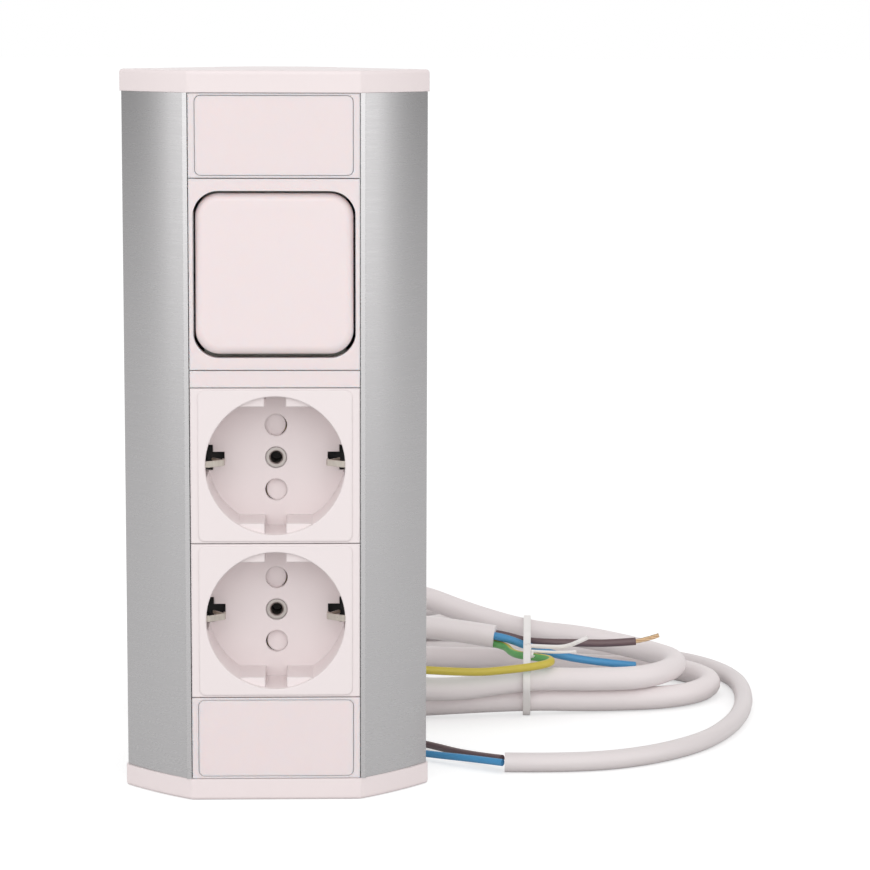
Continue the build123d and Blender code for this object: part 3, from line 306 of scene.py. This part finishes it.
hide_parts("lamp_lead_run", "lamp_hank", "lamp_lead_tail")

# Cores: stranded copper in thin glossy insulation. Brown, blue and green with a yellow stripe come
# out of the supply lead, brown and blue out of the lamp lead.
core_diameter = 2.6
fine_core_diameter = 2.2
brown_insulation = plastic("brown_insulation", (0.15, 0.095, 0.10), (0.19, 0.125, 0.135), 0.33,
                           drift_scale=120.0)
blue_insulation = plastic("blue_insulation", (0.065, 0.29, 0.56), (0.095, 0.35, 0.62), 0.33,
                          drift_scale=120.0)
supply_brown = [
    (70.42, 126.44, 22.49), (74.29, 125.55, 21.99), (80.0, 124.3, 20.4), (88.0, 121.8, 20.4),
    (98.0, 121.2, 20.4), (107.0, 121.8, 20.0), (116.3, 122.0, 20.7),
]
supply_blue = [
    (69.72, 123.47, 22.36), (73.59, 122.58, 21.86), (80.0, 120.6, 19.6), (90.0, 117.6, 17.1),
    (102.0, 117.6, 14.9), (116.0, 120.2, 12.9),
]
lamp_brown = [(67.3, 32.4, 3.8), (57.0, 44.0, 2.2), (46.0, 61.0, 1.2), (32.0, 74.0, 1.2)]
lamp_blue = [(67.3, 29.9, 3.1), (58.0, 36.5, 2.8), (46.0, 45.5, 1.9), (33.0, 54.0, 1.7)]


def plain_core(node, points, diameter, finish):
    """A round core of one colour along its route, in place of its solid."""
    name = node.replace("core_", "") + "_core"
    core = smooth_line(name, placed(points), bevel_steps=4, radius=diameter / 2 * MM)
    core.data.materials.append(finish)
    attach(core, "housing")
    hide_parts(node)
    return core


brown_core = plain_core("supply_core_brown", supply_brown, core_diameter, brown_insulation)
blue_core = plain_core("supply_core_blue", supply_blue, core_diameter, blue_insulation)
for node, points, finish, slot, length in (
    ("lamp_core_brown", lamp_brown, brown_insulation, "brown_insulation", 0.0548),
    ("lamp_core_blue", lamp_blue, blue_insulation, "blue_insulation", 0.042),
):
    fine_core = plain_core(node, points, fine_core_diameter, finish)


def line_points(points, spacing):
    """Points along the smooth line of a route, at an even spacing."""
    line = smooth_line("line", points)
    graph = bpy.context.evaluated_depsgraph_get()
    mesh = bpy.data.meshes.new_from_object(line.evaluated_get(graph))
    path = [vertex.co.copy() for vertex in mesh.vertices]
    bpy.data.objects.remove(line)
    bpy.data.meshes.remove(mesh)
    steps = [(b - a).length for a, b in zip(path, path[1:])]
    count = max(2, round(sum(steps) / spacing))
    spaced, gone, index = [path[0]], 0.0, 0
    for step in range(1, count):
        target = sum(steps) * step / count
        while gone + steps[index] < target:
            gone += steps[index]
            index += 1
        spaced.append(path[index].lerp(path[index + 1], (target - gone) / steps[index]))
    return spaced + [path[-1]]


def swept_tube(name, path, radius, sides, twist=0.0, offset=0.0, phase=0.0):
    """A round tube along a path, whose rings turn with it, with a map of the way round and along it."""
    shape = bmesh.new()
    map_layer = shape.loops.layers.uv.new("along")
    normal = Vector((0, 0, 1))
    rings, spot, gone = [], {}, 0.0
    for index, place in enumerate(path):
        ahead = path[min(index + 1, len(path) - 1)]
        behind = path[max(index - 1, 0)]
        along = (ahead - behind).normalized()
        normal = (normal - along * normal.dot(along)).normalized()
        across = along.cross(normal)
        gone += (place - behind).length if index else 0.0
        turn = phase + twist * gone
        centre = place + (normal * cos(turn) + across * sin(turn)) * offset
        corners = bmesh.ops.create_circle(shape, segments=sides, radius=radius)["verts"]
        turned = Matrix((across, normal, along)).transposed().to_4x4()
        bmesh.ops.transform(shape, verts=corners, matrix=Matrix.Translation(centre) @ turned)
        spot.update({corner: (side / sides, gone) for side, corner in enumerate(corners)})
        rings.append(list(dict.fromkeys(edge for corner in corners for edge in corner.link_edges)))
    for ring, following in zip(rings, rings[1:]):
        for wall in bmesh.ops.bridge_loops(shape, edges=ring + following)["faces"]:
            wall.smooth = True
            shares = [spot[loop.vert][0] for loop in wall.loops]
            on_seam = max(shares) - min(shares) > 0.5
            for loop, share in zip(wall.loops, shares):
                loop[map_layer].uv = (1.0 if on_seam and share == 0 else share, spot[loop.vert][1])
    bmesh.ops.edgeloop_fill(shape, edges=rings[0] + rings[-1])
    bmesh.ops.recalc_face_normals(shape, faces=shape.faces)
    mesh = bpy.data.meshes.new(name)
    shape.to_mesh(mesh)
    shape.free()
    return add_to_scene(name, mesh)


supply_green_yellow = placed([
    (69.6, 124.48, 19.6), (73.47, 123.59, 19.1), (75.2, 114.5, 18.2), (81.5, 107.5, 18.7),
    (86.0, 103.0, 19.1), (87.3, 99.0, 18.9), (83.0, 95.6, 18.4), (73.5, 93.5, 17.6), (60.0, 91.5, 16.9),
    (40.0, 90.0, 18.8),
])
earth_path = line_points(supply_green_yellow, spacing=0.0009)
earth_core = swept_tube("supply_green_yellow_core", earth_path, core_diameter / 2 * MM, sides=20)

# The two colours of an earth wire, parted at an edge across its stripes
stripe_group, stripe_in, stripe_out = new_group(
    "earth_stripes",
    [("Position", "NodeSocketFloat", 0.0), ("Green Up To", "NodeSocketFloat", -0.08),
     ("Yellow From", "NodeSocketFloat", 0.08)],
    [("Color", "NodeSocketColor")],
)
stripe_edge = stripe_group.nodes.new("ShaderNodeMapRange")
stripe_mix = stripe_group.nodes.new("ShaderNodeMix")
stripe_mix.data_type = "RGBA"
stripe_green, stripe_yellow = (0.14, 0.42, 0.13), (0.62, 0.50, 0.07)
stripe_mix.inputs["A"].default_value = (*stripe_green, 1.0)
stripe_mix.inputs["B"].default_value = (*stripe_yellow, 1.0)
connect(stripe_group.links, (
    (stripe_in.outputs["Position"], stripe_edge.inputs["Value"]),
    (stripe_in.outputs["Green Up To"], stripe_edge.inputs["From Min"]),
    (stripe_in.outputs["Yellow From"], stripe_edge.inputs["From Max"]),
    (stripe_edge.outputs["Result"], stripe_mix.inputs["Factor"]),
    (stripe_mix.outputs["Result"], stripe_out.inputs["Color"]),
))


def striped_plastic(name, green_up_to, yellow_from):
    """Green insulation with yellow stripes; also returns the socket for the place across the stripes."""
    material = plastic(name, stripe_green, stripe_green, 0.33, drift_scale=120.0)
    nodes, links = material.node_tree.nodes, material.node_tree.links
    stripes = nodes.new("ShaderNodeGroup")
    stripes.node_tree = stripe_group
    stripes.inputs["Green Up To"].default_value = green_up_to
    stripes.inputs["Yellow From"].default_value = yellow_from
    skin = next(node for node in nodes if node.type == "GROUP" and node.node_tree == skin_group)
    links.new(stripes.outputs["Color"], skin.inputs["Base"])
    links.new(stripes.outputs["Color"], skin.inputs["Shade"])
    return material, nodes, links, stripes.inputs["Position"]


striped, striped_nodes, striped_links, stripe_position = striped_plastic(
    "green_yellow_insulation", green_up_to=-0.08, yellow_from=0.08
)
stripe_map = striped_nodes.new("ShaderNodeUVMap")
stripe_map.uv_map = "along"
stripe_axes = striped_nodes.new("ShaderNodeSeparateXYZ")
stripe_turn = 0.52
stripe_wave = math_node(striped_nodes, "MULTIPLY_ADD", 2 * pi, stripe_turn)
stripe_sine = math_node(striped_nodes, "SINE")
connect(striped_links, (
    (stripe_map.outputs["UV"], stripe_axes.inputs["Vector"]),
    (stripe_axes.outputs["X"], stripe_wave.inputs[0]),
    (stripe_wave.outputs["Value"], stripe_sine.inputs[0]),
    (stripe_sine.outputs["Value"], stripe_position),
))
earth_core.data.materials.append(striped)
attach(earth_core, "housing")
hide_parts("supply_core_green_yellow")

# Copper tip: the bare strands of the brown core, one in the middle and six round it. They are drawn
# copper wire, twisted together and cut square.
copper_run = [(115.5, 121.98, 20.64), (119.0, 122.05, 20.95), (124.0, 122.1, 22.7)]
strand_radius = 0.00026
strand_sides = 8
outer_strands, outer_offset = 6, 0.0005
strand_twist = 420.0

# The skin of a drawn, rolled or brushed metal: fine lines that run one way
grain_group, grain_in, grain_out = new_group(
    "metal_grain",
    [("Base", "NodeSocketColor", (0.6, 0.6, 0.6, 1)), ("Shade", "NodeSocketColor", (0.5, 0.5, 0.5, 1)),
     ("Stretch", "NodeSocketVector", (60.0, 60.0, 2500.0)), ("Roughness", "NodeSocketFloat", 0.4),
     ("Roughness Spread", "NodeSocketFloat", 0.1)],
    [("Color", "NodeSocketColor"), ("Roughness", "NodeSocketFloat"), ("Height", "NodeSocketFloat")],
)
grain_place = grain_group.nodes.new("ShaderNodeTexCoord")
grain_stretch = grain_group.nodes.new("ShaderNodeVectorMath")
grain_stretch.operation = "MULTIPLY"
grain_noise = grain_group.nodes.new("ShaderNodeTexNoise")
grain_noise.inputs["Scale"].default_value = 1.0
grain_noise.inputs["Detail"].default_value = 4.0
grain_mix = grain_group.nodes.new("ShaderNodeMix")
grain_mix.data_type = "RGBA"
grain_rough = math_node(grain_group.nodes, "MULTIPLY_ADD")
connect(grain_group.links, (
    (grain_place.outputs["Object"], grain_stretch.inputs[0]),
    (grain_in.outputs["Stretch"], grain_stretch.inputs[1]),
    (grain_stretch.outputs["Vector"], grain_noise.inputs["Vector"]),
    (grain_noise.outputs["Fac"], grain_mix.inputs["Factor"]),
    (grain_in.outputs["Base"], grain_mix.inputs["A"]),
    (grain_in.outputs["Shade"], grain_mix.inputs["B"]),
    (grain_noise.outputs["Fac"], grain_rough.inputs[0]),
    (grain_in.outputs["Roughness Spread"], grain_rough.inputs[1]),
    (grain_in.outputs["Roughness"], grain_rough.inputs[2]),
    (grain_mix.outputs["Result"], grain_out.inputs["Color"]),
    (grain_rough.outputs["Value"], grain_out.inputs["Roughness"]),
    (grain_noise.outputs["Fac"], grain_out.inputs["Height"]),
))


def metal(name, base, shade, roughness, stretch, spread=0.1, edge=0.0):
    """A metal with a grain that is stretched one way, and edges eased over a small radius."""
    material, nodes, links, shader = principled(name, base, roughness, metallic=1.0)
    grain = nodes.new("ShaderNodeGroup")
    grain.node_tree = grain_group
    grain.inputs["Base"].default_value = (*base, 1.0)
    grain.inputs["Shade"].default_value = (*shade, 1.0)
    grain.inputs["Stretch"].default_value = stretch
    grain.inputs["Roughness"].default_value = roughness
    grain.inputs["Roughness Spread"].default_value = spread
    bump = nodes.new("ShaderNodeBump")
    bump.inputs["Distance"].default_value = 0.000004
    bump.inputs["Strength"].default_value = 0.4
    links.new(grain.outputs["Color"], shader.inputs["Base Color"])
    links.new(grain.outputs["Roughness"], shader.inputs["Roughness"])
    links.new(grain.outputs["Height"], bump.inputs["Height"])
    links.new(bump.outputs["Normal"], shader.inputs["Normal"])
    if edge:
        ease_edges(nodes, links, bump, edge)
    return material


def joined(name, strands):
    """One piece made of several strands."""
    shape = bmesh.new()
    for strand in strands:
        shape.from_mesh(strand.data)
        bpy.data.objects.remove(strand)
    mesh = bpy.data.meshes.new(name)
    shape.to_mesh(mesh)
    shape.free()
    return add_to_scene(name, mesh)


copper_path = line_points(placed(copper_run), spacing=0.0004)
strands = [swept_tube("strand", copper_path, strand_radius, strand_sides)]
for index in range(outer_strands):
    strands.append(swept_tube(
        "strand", copper_path, strand_radius, strand_sides, twist=strand_twist, offset=outer_offset,
        phase=2 * pi * index / outer_strands,
    ))
copper_tip = joined("copper_tip", strands)
copper_tip.data.materials.append(
    metal("bare_copper", (0.74, 0.55, 0.36), (0.66, 0.46, 0.28), 0.26, stretch=(900.0, 2500.0, 2500.0))
)
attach(copper_tip, "housing")
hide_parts("supply_copper_tip")

# Twist tie: a flat plastic strip with a wire in it, drawn round the waist of the hank. Its two ends
# are twisted together into a knot in front and stick out to the right.
tie_wire_radius = 0.7 * MM
knot_strand_radius = tie_wire_radius * 0.75
knot_strand_offset = tie_wire_radius * 0.7
tail_radius = tie_wire_radius * 0.7
tie_strand_sides = 12
knot_twist = 1500.0
merge_distance = 0.00001
tie_plastic = plastic("tie_plastic", (0.90, 0.86, 0.84), (0.84, 0.80, 0.78), 0.35, drift_scale=200.0,
                      edge=0.0004)
loop_shape = bmesh.new()
loop_shape.from_mesh(bpy.data.objects["twist_tie"].data)
bmesh.ops.remove_doubles(loop_shape, verts=loop_shape.verts, dist=merge_distance)
for face in loop_shape.faces:
    face.smooth = True
tie_loop_mesh = bpy.data.meshes.new("tie_loop")
loop_shape.to_mesh(tie_loop_mesh)
loop_shape.free()
tie_loop_mesh.set_sharp_from_angle(angle=radians(30))
tie_loop = add_to_scene("tie_loop", tie_loop_mesh)
tie_loop_mesh.materials.append(tie_plastic)
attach(tie_loop, "housing")
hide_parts("twist_tie")
knot_route = placed([(79.7, 108.9, 22.2), (80.1, 107.5, 21.2), (80.7, 106.2, 20.0), (81.4, 105.2, 19.2)])
knot_path = line_points(knot_route, spacing=0.00025)
tail_route = placed([(80.4, 107.0, 20.8), (85.0, 106.2, 20.6), (90.0, 105.6, 20.6), (95.4, 105.2, 20.9)])
tail_path = line_points(tail_route, spacing=0.0008)
tie_strands = [
    swept_tube("tie_strand", knot_path, knot_strand_radius, tie_strand_sides, twist=knot_twist,
               offset=knot_strand_offset, phase=phase)
    for phase in (0.0, pi)
]
tie_strands.append(swept_tube("tie_strand", tail_path, tail_radius, tie_strand_sides))
tie_knot = joined("tie_knot", tie_strands)
tie_knot.data.materials.append(tie_plastic)
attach(tie_knot, "housing")

# Housing: one length of extruded aluminium with bowed cheeks, satin anodised, with fine lines across
# its length. The modules snap in between its front lips.
profile_metal = metal("anodised_aluminium", (0.585, 0.575, 0.58), (0.545, 0.535, 0.54), 0.24,
                      stretch=(90.0, 90.0, 3000.0), spread=0.08, edge=0.0002)
dress(profile_metal, "aluminium_profile")

# End caps: white plastic lids, moulded with a rim that sits over the end of the profile. Four sunk
# screws of zinc-plated steel hold each one.
cap_plastic = plastic("cap_plastic", (0.87, 0.775, 0.775), (0.84, 0.75, 0.75), 0.30, drift_scale=25.0,
                      drift_amount=0.4, edge=0.0004)
dress(cap_plastic, "bottom_cap", "top_cap")
zinc_steel = metal("zinc_steel", (0.62, 0.62, 0.64), (0.48, 0.48, 0.50), 0.30, stretch=(900.0, 900.0, 900.0),
                   spread=0.15, edge=0.0001)
dress(zinc_steel, "cap_screws", "terminal_screws", "switch_terminal_screws", "clamp_screw")

# Front modules: glossy white plates that clip into the profile. The blanks sit in a rebate of
# their frame, the spacer fills the gap under the switch, and the rocker tilts in its own frame.
white_plastic = plastic("white_plastic", (0.862, 0.766, 0.769), (0.835, 0.74, 0.743), 0.30, drift_scale=25.0,
                        drift_amount=0.4, edge=0.0003, scatter=0.8)
dress(white_plastic, "bottom_blank_frame", "top_blank_frame", "bottom_blank_plate", "top_blank_plate",
      "spacer_bar", "switch_frame", "switch_rocker")

# Socket faces: a plate and a deep round recess moulded in one, with soft inner corners. Shutters of
# the same plastic stand behind the pin holes, and a base of dark thermoset carries it all.
face_plastic = plastic("face_plastic", (0.872, 0.79, 0.79), (0.845, 0.765, 0.765), 0.32, drift_scale=25.0,
                       drift_amount=0.4, edge=0.0006)
dress(face_plastic, "lower_socket_face", "upper_socket_face", "lower_shutter", "upper_shutter")
base_thermoset = plastic("base_thermoset", (0.012, 0.011, 0.012), (0.02, 0.019, 0.02), 0.5, drift_scale=300.0,
                         drift_amount=0.5)
dress(base_thermoset, "lower_socket_base", "upper_socket_base")

# Socket metal: earth clips bent from bright nickel-plated spring strip, and the eyelet that clinches
# each face to its base round a screw, coloured near-black as painted shade for its deep hole. Coils of
# spring steel turn the shutters back.
nickel_spring = metal("nickel_spring", (0.66, 0.61, 0.55), (0.46, 0.42, 0.37), 0.22,
                      stretch=(1500.0, 400.0, 400.0), spread=0.2, edge=0.00012)
dress(nickel_spring, "lower_earth_bracket", "upper_earth_bracket")
eyelet_nickel = metal("eyelet_nickel", (0.52, 0.475, 0.45), (0.40, 0.365, 0.345), 0.30,
                      stretch=(900.0, 900.0, 900.0), spread=0.15, edge=0.00025)
dress(eyelet_nickel, "lower_centre_eyelet", "upper_centre_eyelet")
# The centre screws are coloured near-black as painted shade for the deep eyelet holes they sit in.
screw_painted_shade = metal("painted_shade_screw_steel", (0.05, 0.048, 0.045), (0.03, 0.03, 0.03), 0.5,
                    stretch=(900.0, 900.0, 900.0))
dress(screw_painted_shade, "centre_screws")
spring_steel = metal("spring_steel", (0.52, 0.53, 0.55), (0.40, 0.41, 0.43), 0.25,
                     stretch=(300.0, 3000.0, 300.0))
dress(spring_steel, "lower_shutter_spring", "upper_shutter_spring", "plunger_spring")

# Live and neutral contacts, contact lever and fixed contact: stamped and bent from brass strip, with
# the fine lines of the rolled sheet.
contact_brass = metal("contact_brass", (0.72, 0.52, 0.24), (0.60, 0.42, 0.18), 0.32,
                      stretch=(700.0, 700.0, 2000.0), edge=0.0001)
dress(contact_brass, "lower_live_contact", "lower_neutral_contact", "upper_live_contact",
      "upper_neutral_contact", "contact_lever", "switch_contacts")

# Switch and clamp mouldings behind the front: unpigmented nylon, matt and slightly warm. The carrier
# holds the rocker in its two ears, the base closes the switch behind it, and a screw draws the two
# halves of the clamp together.
inner_plastic = plastic("inner_plastic", (0.76, 0.74, 0.69), (0.70, 0.68, 0.62), 0.5, drift_scale=60.0,
                        drift_amount=0.5, pebble_scale=1500.0, edge=0.0002)
dress(inner_plastic, "rocker_carrier", "rocker_plunger", "switch_base", "clamp_left_half",
      "clamp_right_half")

# Grommets: grey rubber rings, pressed into two holes in the back wall. They keep the leads off the
# edges of the metal.
grommet_rubber = plastic("grommet_rubber", (0.26, 0.26, 0.265), (0.20, 0.20, 0.205), 0.65, drift_scale=150.0,
                         drift_amount=0.6, pebble_scale=1200.0, pebble_depth=0.00008, edge=0.0004)
dress(grommet_rubber, "supply_grommet", "lamp_grommet")

# Inner wires: single insulated wires between the leads, the sockets and the switch. The earth wire
# carries its yellow stripes on the sides that face left and right.
dress(brown_insulation, "live_wires", "lamp_wires")
dress(blue_insulation, "neutral_wires")
earth_stripes, wire_nodes, wire_links, wire_position = striped_plastic(
    "earth_wire_insulation", green_up_to=0.00065, yellow_from=0.00075
)
wire_place = wire_nodes.new("ShaderNodeTexCoord")
wire_axes = wire_nodes.new("ShaderNodeSeparateXYZ")
wire_width = math_node(wire_nodes, "ABSOLUTE")
connect(wire_links, (
    (wire_place.outputs["Object"], wire_axes.inputs["Vector"]),
    (wire_axes.outputs["X"], wire_width.inputs[0]),
    (wire_width.outputs["Value"], wire_position),
))
dress(earth_stripes, "earth_wires")

# Floor: a wide white board. The camera sees it as plain white and metal sees it a little darker,
# and it keeps the shadow that the object throws on it.
floor_half = 12.0
floor_seen_glow, floor_mirrored_glow = 0.54, 0.20
floor_mesh = bpy.data.meshes.new("floor")
floor_shape = bmesh.new()
bmesh.ops.create_grid(floor_shape, x_segments=1, y_segments=1, size=floor_half)
floor_shape.to_mesh(floor_mesh)
floor_shape.free()
floor = add_to_scene("floor", floor_mesh)
floor_paint, floor_nodes, floor_links, floor_shader = principled(
    "floor_paint", (0.60, 0.60, 0.60), 0.9, gloss=0.0
)
floor_mesh.materials.append(floor_paint)


def backdrop_rays(nodes, links):
    """Masks of the camera's rays, and of those that metal and glass send on."""
    rays = nodes.new("ShaderNodeLightPath")
    mirrored = math_node(nodes, "MAXIMUM")
    links.new(rays.outputs["Is Glossy Ray"], mirrored.inputs[0])
    links.new(rays.outputs["Is Transmission Ray"], mirrored.inputs[1])
    return rays.outputs["Is Camera Ray"], mirrored.outputs["Value"]


floor_camera_rays, floor_mirrored_rays = backdrop_rays(floor_nodes, floor_links)
floor_mirrored = math_node(floor_nodes, "MULTIPLY", floor_mirrored_glow)
floor_seen = math_node(floor_nodes, "MULTIPLY_ADD", floor_seen_glow)
floor_shader.inputs["Emission Color"].default_value = (1, 1, 1, 1)
connect(floor_links, (
    (floor_mirrored_rays, floor_mirrored.inputs[0]),
    (floor_camera_rays, floor_seen.inputs[0]),
    (floor_mirrored.outputs["Value"], floor_seen.inputs[2]),
    (floor_seen.outputs["Value"], floor_shader.inputs["Emission Strength"]),
))

# Light: a white surround, a little dimmer as a light than as a backdrop, which metal sees fade
# towards both sides. Two wide soft lamps stand in front, one above and one low for the recesses, and
# one at each side for the inner half of the bowed cheeks.
ambient = 0.82
white, side_grey = (1, 1, 1, 1), (0.05, 0.05, 0.05, 1)
front_white_end, grey_start, grey_end, back_white_start = 0.36, 0.54, 0.72, 0.95
world = bpy.data.worlds.new("studio")
bpy.context.scene.world = world
world.use_nodes = True
world.cycles.sampling_method = "NONE"
world_nodes, world_links = world.node_tree.nodes, world.node_tree.links
studio = world_nodes["Background"]
studio.inputs["Color"].default_value = white
world_camera_rays, world_mirrored_rays = backdrop_rays(world_nodes, world_links)
surround_place = world_nodes.new("ShaderNodeTexCoord")
surround_axes = world_nodes.new("ShaderNodeSeparateXYZ")
backward = math_node(world_nodes, "MULTIPLY_ADD", 0.5, 0.5)
fade = world_nodes.new("ShaderNodeValToRGB")
for stop, place in zip(fade.color_ramp.elements, (front_white_end, back_white_start)):
    stop.position = place
    stop.color = white
for place in (grey_start, grey_end):
    fade.color_ramp.elements.new(place).color = side_grey
given = world_nodes.new("ShaderNodeMix")
given.inputs["A"].default_value = ambient
brightness = math_node(world_nodes, "MAXIMUM")
connect(world_links, (
    (surround_place.outputs["Generated"], surround_axes.inputs["Vector"]),
    (surround_axes.outputs["Y"], backward.inputs[0]),
    (backward.outputs["Value"], fade.inputs["Fac"]),
    (world_mirrored_rays, given.inputs["Factor"]),
    (fade.outputs["Color"], given.inputs["B"]),
    (given.outputs["Result"], brightness.inputs[0]),
    (world_camera_rays, brightness.inputs[1]),
    (brightness.outputs["Value"], studio.inputs["Strength"]),
))


def soft_lamp(name, place, target, size, power):
    """A square soft light that faces a point of the unit."""
    light = bpy.data.lights.new(name, "AREA")
    light.size = size
    light.energy = power
    lamp = add_to_scene(name, light)
    lamp.location = place
    lamp.rotation_euler = (Vector(target) - Vector(place)).to_track_quat("-Z", "Y").to_euler()


soft_lamp("key", (-0.4, -1.6, 1.4), (0.03, 0, 0.08), size=2.2, power=7.5)
soft_lamp("low_fill", (0.1, -2.0, 0.3), (0.03, 0, 0.1), size=2.2, power=13.0)
for side in (-1, 1):
    soft_lamp("side", (side * 1.25, -0.50, 0.3), (0, 0, 0.1), size=0.7, power=1.2)
